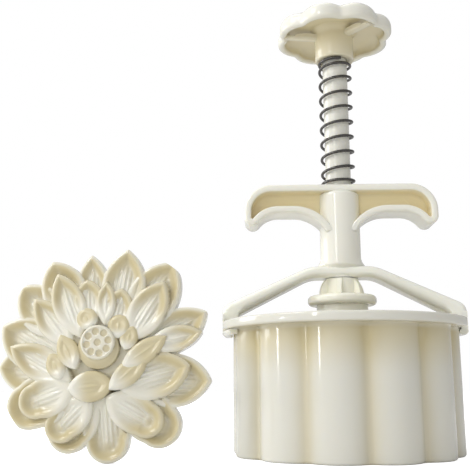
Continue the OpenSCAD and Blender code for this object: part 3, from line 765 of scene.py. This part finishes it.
class PRESS_OT_knob(bpy.types.Operator):
    """Scalloped knob with its skirt, inner webs and boss"""
    bl_idname = "press.knob"
    bl_label = "Knob"

    def execute(self, context):
        s = context.scene.press_knob
        top, rim_z, boss_z = KNOB_HIGH.z, KNOB_HIGH.z - s.height, KNOB_LOW.z
        turn = np.linspace(0, 2 * np.pi, 240, endpoint=False)
        lobes = self.lobe_line(s, turn)
        scallop = lobes / s.reach
        rows, hollow = [], []

        def add(r, z, follow, shade, valley=0.0):
            """Row at radius r; follow is its share of the lobes, valley its dip between them."""
            wide = r * (1 + (scallop - 1) * follow)
            drop = valley * (1 - scallop) / (1 - scallop.min())
            rows.append(np.column_stack([wide * np.cos(turn), wide * np.sin(turn),
                                         np.full(len(turn), z) - drop]))
            hollow.append(shade)

        # crown and its rounding down to the skirt
        crown_z, edge_x = top - s.crown_r, s.reach - s.edge_r
        edge_z = crown_z + math.sqrt((s.crown_r - s.edge_r) ** 2 - edge_x ** 2)
        meet = math.atan2(edge_z - crown_z, edge_x)
        for r in np.linspace(0.001, s.crown_r * math.cos(meet), 26):
            fade = float(smoothstep((r / s.reach - 0.2) / 0.75))
            add(r, crown_z + math.sqrt(s.crown_r ** 2 - r ** 2), fade, 0.0,
                1.3 * fade * (1 - fade * 0.35))
        for a in np.linspace(meet, -0.02, 9)[1:]:
            add(edge_x + s.edge_r * math.cos(a), edge_z + s.edge_r * math.sin(a), 1.0, 0.0,
                0.85 * max(math.sin(a), 0))

        # lower edge of the skirt, with painted shade that grows on its inner side
        lip, inner = 1.1, s.reach - s.wall
        for x, z in arc(s.reach - lip, rim_z + lip, lip, 0, -90, 5):
            add(x, z, 1.0, 0.1)
        for (x, z), shade in zip(arc(inner + lip, rim_z + lip, lip, -90, -180, 5),
                                 np.linspace(0.2, 0.6, 6)):
            add(x, z, 1.0, shade)

        # inside of the skirt, roof, cove round the boss, boss and bore, all in painted shade
        bend, cove, boss_edge = 2.2, 2.6, 0.6
        bend_r = inner - bend
        bend_z = crown_z + math.sqrt((s.crown_r - s.wall - bend) ** 2 - bend_r ** 2) - 1.0
        for a in np.linspace(0, meet, 6):
            add(bend_r + bend * math.cos(a), bend_z + bend * math.sin(a), 1.0, 0.8)
        roof = bend_z + bend
        cove_z = roof - 2.2
        for r in np.linspace(bend_r, s.boss_r + cove, 5)[1:]:
            add(r, roof + 0.5 * (bend_r - r) / bend_r, float(smoothstep(r / s.reach)), 0.85)
        for t in np.linspace(0, 1, 7)[1:]:
            a = math.radians(90 + 90 * t)
            add(s.boss_r + cove * (1 + math.cos(a)), cove_z + cove * math.sin(a), 0,
                0.85 - 0.1 * t)
        for x, z in arc(s.boss_r - boss_edge, boss_z + boss_edge, boss_edge, 0, -90, 4):
            add(x, z, 0, 0.6)
        add(ROD_R + 0.3, boss_z, 0, 0.7)
        add(ROD_R + 0.02, boss_z + 0.3, 0, 0.7)
        shell = Shell()
        shell.grid(rows, hollow=hollow)
        self.webs(shell, s, rim_z + 0.02, roof - 1.0, lobes, turn)
        knob = shell.build("knob_dome", sharp=60)
        dress(knob, "knob_plastic", "plunger", "ivory_grip", "knob")
        return {"FINISHED"}

    def lobe_line(self, s, turn):
        """Radius of the skirt at each angle: round lobes that run softly into one another."""
        lobe_r, soft = 0.43 * s.reach, 0.5
        axis_r = s.reach - lobe_r
        total = 0
        for i in range(s.lobes):
            away = turn - math.radians(s.turn) - 2 * np.pi * i / s.lobes
            side = axis_r * np.sin(away)
            lobe = axis_r * np.cos(away) + np.sqrt(np.maximum(lobe_r ** 2 - side ** 2, 0))
            total = total + np.exp(np.where(np.abs(side) < lobe_r, lobe, 0) / soft)
        line = soft * np.log(total)
        return line - (line.max() - s.reach)

    def webs(self, shell, s, foot, roof_z, lobes, turn):
        """Webs from the boss to the skirt, flush with the skirt's lower edge."""
        half, round_r, sink = s.web / 2, 0.9, 1.0
        corner = arc(half - round_r, round_r, round_r, 0, -90, 4)
        lower = np.vstack([corner, corner[::-1] * (-1, 1)])
        for k in range(s.web_count):
            a = math.radians(s.web_turn + 360 / s.web_count * k)
            reach = float(np.interp(a % (2 * np.pi), turn, lobes)) - s.wall * 0.6
            along, across = np.array([(math.cos(a), math.sin(a)), (-math.sin(a), math.cos(a))])
            rows = []
            for r in np.linspace(s.boss_r - sink, reach, 8):
                top = roof_z - max(r - reach + 5.5, 0) * 0.45
                ring = [(half, top), *[(y, foot + z) for y, z in lower], (-half, top)]
                rows.append([(*(along * r + across * y), z) for y, z in ring])
            # the webs carry painted shade
            shell.grid(rows, hollow=0.55)
            shell.cap(rows[0], flip=True, hollow=0.55)
            shell.cap(rows[-1], hollow=0.55)


# -------------------------------------------------------------------- spring


class PRESS_OT_spring(bpy.types.Operator):
    """Return spring between the grip and the knob's boss"""
    bl_idname = "press.spring"
    bl_label = "Return spring"

    def execute(self, context):
        s = context.scene.press_coil
        seat = 0.05 + s.wire_d / 2
        low, high = GRIP_TOP + seat, KNOB_LOW.z - seat
        r = (s.outer_d - s.wire_d) / 2
        curls, per_curl, blend = s.open_curls + 2, 64, 16
        pitch = (high - low - 2 * s.end_pitch) / s.open_curls
        t = np.linspace(0, curls, int(curls * per_curl) + 1)
        rise = np.interp(t, [0, 1, 1 + s.open_curls, curls],
                         [0, s.end_pitch, s.end_pitch + pitch * s.open_curls, high - low])
        # the pitch changes over a quarter of a curl on each side, not at one point
        soft = np.ones(2 * blend + 1) / (2 * blend + 1)
        rise = np.convolve(np.pad(rise, blend, mode="reflect", reflect_type="odd"), soft, "valid")
        path = np.column_stack([r * np.cos(2 * np.pi * t), r * np.sin(2 * np.pi * t), low + rise])
        run = np.gradient(path, axis=0)
        run /= np.linalg.norm(run, axis=1)[:, None]
        out = path * (1, 1, 0) / r
        side = np.cross(run, out)
        out = np.cross(side, run)
        sides = np.linspace(0, 2 * np.pi, 14, endpoint=False)
        shell = Shell()
        rows = [[p + s.wire_d / 2 * (math.cos(a) * o + math.sin(a) * d) for a in sides]
                for p, o, d in zip(path, out, side)]
        shell.grid(rows)
        shell.cap(rows[0], flip=True)
        shell.cap(rows[-1])
        spring = shell.build("spring_coil", sharp=60)
        dress(spring, "spring_wire", "handle", "spring_steel", "return_spring")
        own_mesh(spring)
        return {"FINISHED"}


# --------------------------------------------------------------------- stamp

# Petals: base x, base y, tip x, tip y, width, roundness of the end, layer.
# Seen from the front with the stamp upright, in millimetres.
PETALS = [
    (9.5, 0.5, 28.9, 12.1, 11.8, 0, 0.0), (7.2, 6.0, 19.3, 26.4, 14.4, 0, 0.15),
    (3.4, 7.0, 6.0, 30.3, 12.8, 0, 0.3), (-3.6, 9.0, -4.8, 28.8, 9.6, 0, 0.05),
    (-8.4, 9.0, -16.2, 26.8, 13.0, 0, 0.3), (-12.0, 5.6, -25.2, 19.6, 13.0, 0, 0.1),
    (-11.0, -3.0, -30.0, 8.2, 14.6, 0, 0.3), (-10.0, -4.6, -30.6, -3.6, 14.6, 0, 0.0),
    (-8.0, -8.0, -26.8, -17.2, 14.6, 1, 0.35), (-4.0, -10.0, -12.4, -26.6, 13.6, 1, 0.15),
    (0.4, -10.0, 1.6, -29.9, 13.6, 1, 0.0), (4.6, -10.0, 20.4, -23.6, 14.2, 1, 0.25),
    (8.0, -7.0, 30.2, -7.5, 15.0, 0, 0.1),
    (4.0, -9.0, 24.2, -3.1, 12.8, 0, 1.1), (1.0, -11.6, 16.4, -20.5, 11.0, 1, 1.0),
    (-3.2, -11.6, -14.9, -22.9, 10.2, 1, 0.9), (-8.0, -9.0, -23.5, -14.5, 11.0, 1, 1.1),
    (-9.0, -7.4, -27.0, 2.3, 9.6, 0, 1.0), (-9.0, 2.0, -20.8, 15.8, 8.4, 0, 1.0),
    (-6.6, 4.6, -14.2, 23.0, 9.4, 0, 1.1), (-4.0, 8.6, -5.7, 21.2, 8.8, 0, 0.9),
    (0.2, 8.0, 0.1, 20.6, 5.4, 0, 1.2), (2.5, 6.0, 4.5, 18.6, 8.6, 0, 1.0),
    (7.0, 3.6, 16.8, 20.4, 10.4, 0, 1.1), (12.0, 2.4, 27.6, 6.2, 7.2, 0, 0.9),
    (5.0, -4.0, 17.6, 4.9, 6.2, 0, 1.7), (2.0, -9.8, 12.4, -0.5, 6.4, 0, 1.9),
    (-7.6, -4.2, -12.4, 5.4, 6.0, 0, 1.6), (-11.6, -6.8, -15.2, 0.2, 5.2, 0, 1.5),
    (-3.4, 7.2, -6.6, 12.6, 5.8, 0, 1.5), (4.0, 4.4, 4.2, 11.0, 6.2, 0, 1.6),
    (6.0, 1.2, 8.2, 7.8, 5.0, 0, 1.7), (-9.4, -9.6, 2.8, -8.2, 8.4, 0, 2.0),
]
POD = (-1.5, 3.2)


def petal_depth(x, y, p):
    """Distance inside a petal's outline, share of the way along it, and distance across it.

    A petal is a leaf between two arcs, with a disc at its tip that rounds it."""
    bx, by, tx, ty, w, is_round, _ = p
    length = math.hypot(tx - bx, ty - by)
    ax, ay = (tx - bx) / length, (ty - by) / length
    u = (x - bx) * ax + (y - by) * ay
    v = -(x - bx) * ay + (y - by) * ax
    r = (length ** 2 + w ** 2) / 4 / w
    leaf = r - np.hypot(u - length / 2, np.abs(v) + (r - w / 2))
    end_r, back = (w * 0.44, 1.0) if is_round else (w * 0.26, 1.55)
    disc = end_r - np.hypot(u - (length - end_r * back), v)
    return np.maximum(leaf, disc), u / length, v


def petal_face(d, u, v, p, s):
    """Height and tint of a petal's points, d inside its edge, u along it and v across it."""
    w, layer = p[4], p[6]
    size = min(w / 13.0, 1.0)
    curl = float(smoothstep((layer - 1.2) / 0.3))
    edge_w = s.edge_w * (0.4 + 0.6 * size)
    # shape: a soft edge, a hollow that deepens to the tip, a raised middle and fine veins
    top = s.outer_h + s.layer_step * layer + 0.9 * (1 - u)
    crown = 0.7 * np.clip(1 - d / (edge_w * 1.4), 0, 1) ** 2
    deep = s.scoop * (0.3 + 0.7 * size) * (0.15 + 0.85 * smoothstep((u - 0.15) / 0.6))
    bowl = deep * (1 - 0.7 * curl) * smoothstep((d - edge_w * 0.3) / (3.0 * size + 0.6))
    rise = 0.55 * bowl * smoothstep((d - edge_w - 1.6 * size) / (3.0 * size + 0.2))
    veins = 0.17 * size * np.cos(2 * np.pi * v / 1.25) * smoothstep((d - edge_w - 0.9) / 1.2)
    veins = veins * smoothstep((0.9 - u) / 0.3) * smoothstep((u - 0.1) / 0.3)
    fall = smoothstep(-d / 0.5)
    height = (top - crown - bowl + rise + veins) * (1 - fall) - fall
    # colour: painted shade along the brim and at the tip, and a painted lit edge, pale, at the rim of
    # the outer petals
    painted_lit_rim = 0.85 - 0.5 * float(smoothstep(layer / 0.9)) - 0.2 * curl
    brim = (1 - painted_lit_rim * (1 - smoothstep((d - 0.2) / 1.2))) * (1 - 0.85 * smoothstep(
        (d - edge_w * 1.2) / (2.8 * size + 0.3)))
    tip = smoothstep((u - 0.6) / 0.3) * smoothstep((d - 0.1) / 1.3) * 0.9
    tint = np.maximum(brim * (0.1 + 0.9 * smoothstep((u - 0.3) / 0.4)), tip)
    tint = 0.04 + 0.96 * (tint * (1 - curl) + curl * 0.9 * smoothstep((u - 0.1) / 0.4))
    return height, tint


def stamp_height(x, y, s):
    """Height of the stamp's face above its back at points x, y, and its tint of painted shade."""
    ground = 2.6
    mound = smoothstep((15.5 - np.hypot(x - POD[0], y - POD[1])) / 7.0)
    height = ground + (s.outer_h + 0.4 * s.layer_step - ground) * mound
    # painted shade on the ground between the petals, less on the mound round the pod
    hollow = 0.9 - 0.55 * mound
    for p in PETALS:
        d, u, v = petal_depth(x, y, p)
        near = d > -0.8
        if not near.any():
            continue
        here, tint = petal_face(d[near], u[near], v[near], p, s)
        better = here > height[near]
        hollow[near] = np.where(better, tint, hollow[near])
        height[near] = np.where(better, here, height[near])
    return pod_height(x, y, s, height, hollow)


def pod_height(x, y, s, height, hollow):
    """Adds the seed pod with its collar and its nine cells."""
    top = s.outer_h + 2.2 * s.layer_step
    collar_r, cell_r, cell_ring = 5.8, 1.12, 0.64 * s.pod_r
    collar = collar_r - np.hypot(x - POD[0], y - POD[1] + 1.5)
    side = top - 1.6 + 1.2 * smoothstep(collar / 2.0)
    side = np.where(collar > -0.5, side * (1 - smoothstep(-collar / 0.5)), -1)
    # painted shade on the collar's side
    tint = np.where(side > height, 0.85, hollow)
    height = np.maximum(height, side)
    inside = s.pod_r - np.hypot(x - POD[0], y - POD[1])
    disc = top + 0.25 - 0.45 * np.clip(1 - inside / 0.7, 0, 1) ** 2
    disc = disc - 0.35 * smoothstep((inside - 0.5) / 0.4)
    cells = [(0.0, 0.0)] + [(cell_ring * math.cos(a), cell_ring * math.sin(a))
                            for a in np.linspace(0.2, 0.2 + 2 * np.pi, 9)[:-1]]
    seed = np.zeros(x.shape)
    for cx, cy in cells:
        away = np.hypot(x - POD[0] - cx, y - POD[1] - cy)
        seed = np.maximum(seed, smoothstep((cell_r - away) / 0.35))
    disc = disc - 0.45 * seed + 0.2
    disc = np.where(inside > -0.5, disc * (1 - smoothstep(-inside / 0.5)), -1)
    # painted shade in the cells, less on the disc round them
    tint = np.where(disc > height, 0.25 + 0.5 * seed, tint)
    return np.maximum(height, disc), tint


class PRESS_OT_stamp(bpy.types.Operator):
    """Lotus stamp: carved petals and seed pod in front, a socket behind"""
    bl_idname = "press.stamp"
    bl_label = "Lotus stamp"

    def execute(self, context):
        s = context.scene.press_stamp
        turns, rings, edge_rings = 960, 168, 14
        ground, foot_r = 2.4, 0.5
        turn = np.linspace(0, 2 * np.pi, turns, endpoint=False)
        cos, sin = np.cos(turn), np.sin(turn)
        edge = self.silhouette(cos, sin, s)
        share = np.concatenate([np.linspace(0.002, 0.955, rings),
                                np.linspace(0.96, 1.0, edge_rings)])[:, None]
        x, y = share * edge * cos, share * edge * sin
        height, hollow = stamp_height(x, y, s)
        height[-1] = np.minimum(height[-1], height[-2]) - 0.25
        height = np.maximum(height, ground)
        rows, tints = list(np.stack([x, y, height], axis=-1)), list(hollow)

        def add(r, z, tint):
            rows.append(np.column_stack([r * cos, r * sin, np.broadcast_to(z, turns)]))
            tints.append(np.full(turns, tint))

        for t in np.linspace(0, 1, 5)[1:]:
            add(edge, height[-1] * (1 - t) + foot_r * t, 0.0)
        add(edge - foot_r, 0, 0.1)
        # the foot of the side and the back carry painted shade
        for r, z in self.back(s, edge):
            add(r, z, 0.35)
        rows = np.array(rows)
        world = np.stack([rows[..., 0] - s.left, -s.front - rows[..., 2],
                          rows[..., 1] + STAND_Z], axis=-1)
        shell = Shell()
        shell.grid(world, hollow=np.array(tints))
        shell.cap(world[0], flip=True, hollow=0.3)
        stamp = shell.build("stamp_lotus", sharp=75)
        dress(stamp, "stamp_plastic", "stamp", "ivory_stamp", "lotus_stamp")
        return {"FINISHED"}

    def silhouette(self, cos, sin, s):
        """Farthest radius of the petals at each angle."""
        r = np.arange(14, s.reach + 0.02, 0.04)
        x, y = r[:, None] * cos[None], r[:, None] * sin[None]
        inside = np.zeros(x.shape, bool)
        for p in PETALS:
            inside |= petal_depth(x, y, p)[0] > 0
        far = np.where(inside, r[:, None], 0).max(0)
        soft = np.array([1, 2, 3, 2, 1]) / 9
        return np.convolve(np.pad(far, 2, mode="wrap"), soft, "valid")

    def back(self, s, edge):
        """Radii and heights of the rows over the stamp's back, its boss and its socket."""
        floor_z, boss_edge, mouth = 0.2, 0.5, 0.4
        boss_z = floor_z - s.socket_l
        rows = [(edge * 0.75 + s.boss_r * 0.25, 0), (edge * 0.4 + s.boss_r * 0.6, 0),
                (s.boss_r + 1.0, 0), (s.boss_r + 0.3, -0.3), (s.boss_r, -1.0)]
        rows += list(arc(s.boss_r - boss_edge, boss_z + boss_edge, boss_edge, 0, -90, 4))
        rows += list(arc(s.socket_r + mouth, boss_z + mouth, mouth, 270, 180, 4))
        return rows + [(s.socket_r, floor_z), (0.01, floor_z)]


# ------------------------------------------------------------ carried pieces


class PRESS_OT_carried(bpy.types.Operator):
    """Rod, foot, washer and screw keep the frame's shape and get their finish"""
    bl_idname = "press.carried"
    bl_label = "Rod, foot and screw"

    def execute(self, context):
        looks = {"plunger_rod": "rod_plastic", "plunger_foot": "foot_plastic",
                 "foot_washer": "zinc_plate", "foot_screw": "zinc_plate"}
        for node, material in looks.items():
            mesh = frame["nodes"][node].data
            mesh.materials.clear()
            mesh.materials.append(finish_material(material))
        return {"FINISHED"}


# --------------------------------------------------------------------- stage


# Name, place, what it shines at, width, height, power in watts and colour; lengths in metres
LIGHTS = [
    ("key_light", (-0.64, -0.38, 0.70), (-0.02, 0, 0.06), 0.30, 0.42, 2.45, (1, 1, 1)),
    ("strip_light", (-0.40, -0.69, 0.335), (-0.01, 0, 0.335), 0.04, 0.43, 0.8, (1, 1, 1)),
    ("low_strip_light", (-0.70, -0.40, 0.082), (-0.02, 0, 0.082), 0.05, 0.065, 0.2, (1, 1, 1)),
    ("left_light", (-0.60, 0.10, 0.22), (0, 0, 0.05), 0.3, 0.3, 1.2, (0.95, 0.97, 1.0)),
    ("top_light", (-0.10, 0.15, 0.85), (-0.02, 0, 0.06), 0.6, 0.5, 1.1, (1, 1, 1)),
]


def area_light(name, place, target, width, height, power, colour):
    """Rectangular lamp that shines from its place at a target."""
    lamp = bpy.data.lights.new(name, "AREA")
    lamp.shape = "RECTANGLE"
    lamp.size, lamp.size_y, lamp.energy, lamp.color = width, height, power, colour
    obj = bpy.data.objects.new(name, lamp)
    bpy.context.scene.collection.objects.link(obj)
    obj.location = place
    aim = Vector(target) - Vector(place)
    obj.rotation_euler = aim.to_track_quat("-Z", "Y").to_euler()


class PRESS_OT_stage(bpy.types.Operator):
    """Pale floor, soft light and the camera at the photograph's angle"""
    bl_idname = "press.stage"
    bl_label = "Stage"

    def execute(self, context):
        look = context.scene.press_stage
        self.floor(look)
        self.world(context.scene)
        for light in LIGHTS:
            area_light(*light)
        self.camera(context.scene)
        context.scene.view_settings.view_transform = "Standard"
        return {"FINISHED"}

    def floor(self, look):
        """Wide sheet that looks lit from within to the camera, so that it shows as white."""
        half, glow = 3.0, 0.75
        mesh = bpy.data.meshes.new("floor")
        mesh.from_pydata([(-half, -half, 0), (half, -half, 0), (half, half, 0), (-half, half, 0)],
                         [], [(0, 1, 2, 3)])
        floor = bpy.data.objects.new("floor", mesh)
        bpy.context.scene.collection.objects.link(floor)
        material = bpy.data.materials.new("floor_paper")
        material.use_nodes = True
        tree = material.node_tree
        shader = tree.nodes["Principled BSDF"]
        shader.inputs["Base Color"].default_value = (*look.floor, 1)
        shader.inputs["Roughness"].default_value = 0.9
        shader.inputs["Specular IOR Level"].default_value = 0.1
        shader.inputs["Emission Color"].default_value = (1, 1, 1, 1)
        seen = tree.nodes.new("ShaderNodeLightPath")
        weight = maths(tree, "MULTIPLY", seen.outputs["Is Camera Ray"], glow)
        tree.links.new(weight, shader.inputs["Emission Strength"])
        mesh.materials.append(material)

    def world(self, scene):
        """White to the camera; as light it is stronger on the left than on the right."""
        left, right = 0.80, 0.44
        world = bpy.data.worlds.new("studio")
        scene.world = world
        world.use_nodes = True
        tree = world.node_tree
        back = tree.nodes["Background"]
        back.inputs["Color"].default_value = (1, 1, 1, 1)
        seen = tree.nodes.new("ShaderNodeLightPath")
        direct = maths(tree, "MAXIMUM", seen.outputs["Is Camera Ray"],
                       seen.outputs["Is Transmission Ray"])
        place = tree.nodes.new("ShaderNodeTexCoord")
        split = tree.nodes.new("ShaderNodeSeparateXYZ")
        side = tree.nodes.new("ShaderNodeMapRange")
        side.inputs["From Min"].default_value = -1.0
        side.inputs["To Min"].default_value = left
        side.inputs["To Max"].default_value = right
        strength = tree.nodes.new("ShaderNodeMapRange")
        strength.inputs["To Max"].default_value = 1.0
        tree.links.new(place.outputs["Generated"], split.inputs[0])
        tree.links.new(split.outputs["X"], side.inputs["Value"])
        tree.links.new(side.outputs["Result"], strength.inputs["To Min"])
        tree.links.new(direct, strength.inputs["Value"])
        tree.links.new(strength.outputs["Result"], back.inputs["Strength"])

    def camera(self, scene):
        """Camera fitted to the photograph: place, yaw, pitch, roll and focal length."""
        photo_px, focal_px = 470, 747.54
        place = Vector((-26.14, -244.1, 20.594)) * MM
        yaw, pitch, roll = (math.radians(a) for a in (-2.045, 11.555, -0.21))
        ahead = Vector((math.sin(yaw) * math.cos(pitch), math.cos(yaw) * math.cos(pitch),
                        math.sin(pitch)))
        right = Vector((math.cos(yaw), -math.sin(yaw), 0))
        up = right.cross(ahead)
        right, up = (math.cos(roll) * right + math.sin(roll) * up,
                     -math.sin(roll) * right + math.cos(roll) * up)
        data = bpy.data.cameras.new("photo_camera")
        data.sensor_width = 36.0
        data.lens = focal_px / photo_px * data.sensor_width
        data.clip_start, data.clip_end = 0.01, 20
        camera = bpy.data.objects.new("photo_camera", data)
        scene.collection.objects.link(camera)
        turn = Matrix((right, up, -ahead)).transposed().to_4x4()
        camera.matrix_world = Matrix.Translation(place) @ turn
        scene.camera = camera


# --------------------------------------------------------------------- panel


class PRESS_PT_panel(bpy.types.Panel):
    """Lists the pieces of the press"""
    bl_idname = "PRESS_PT_panel"
    bl_label = "Mooncake Press"
    bl_space_type = "VIEW_3D"
    bl_region_type = "UI"
    bl_category = "Press"

    def draw(self, context):
        for operator in OPERATORS:
            self.layout.operator(operator.bl_idname)


SETTINGS = {
    "press_barrel": BarrelSettings, "press_grip": GripSettings, "press_knob": KnobSettings,
    "press_coil": CoilSettings, "press_stamp": StampSettings, "press_stage": StageSettings,
}
OPERATORS = (PRESS_OT_stage, PRESS_OT_barrel, PRESS_OT_grip, PRESS_OT_knob, PRESS_OT_spring,
             PRESS_OT_stamp, PRESS_OT_carried)


def register():
    for group in SETTINGS.values():
        bpy.utils.register_class(group)
    for operator in OPERATORS:
        bpy.utils.register_class(operator)
    bpy.utils.register_class(PRESS_PT_panel)
    for name, group in SETTINGS.items():
        setattr(bpy.types.Scene, name, PointerProperty(type=group))


def unregister():
    for name in SETTINGS:
        delattr(bpy.types.Scene, name)
    bpy.utils.unregister_class(PRESS_PT_panel)
    for operator in reversed(OPERATORS):
        bpy.utils.unregister_class(operator)
    for group in reversed(list(SETTINGS.values())):
        bpy.utils.unregister_class(group)


def main():
    """Builds every piece."""
    register()
    for operator in OPERATORS:
        area, name = operator.bl_idname.split(".")
        getattr(getattr(bpy.ops, area), name)()


if __name__ == "__main__":
    main()
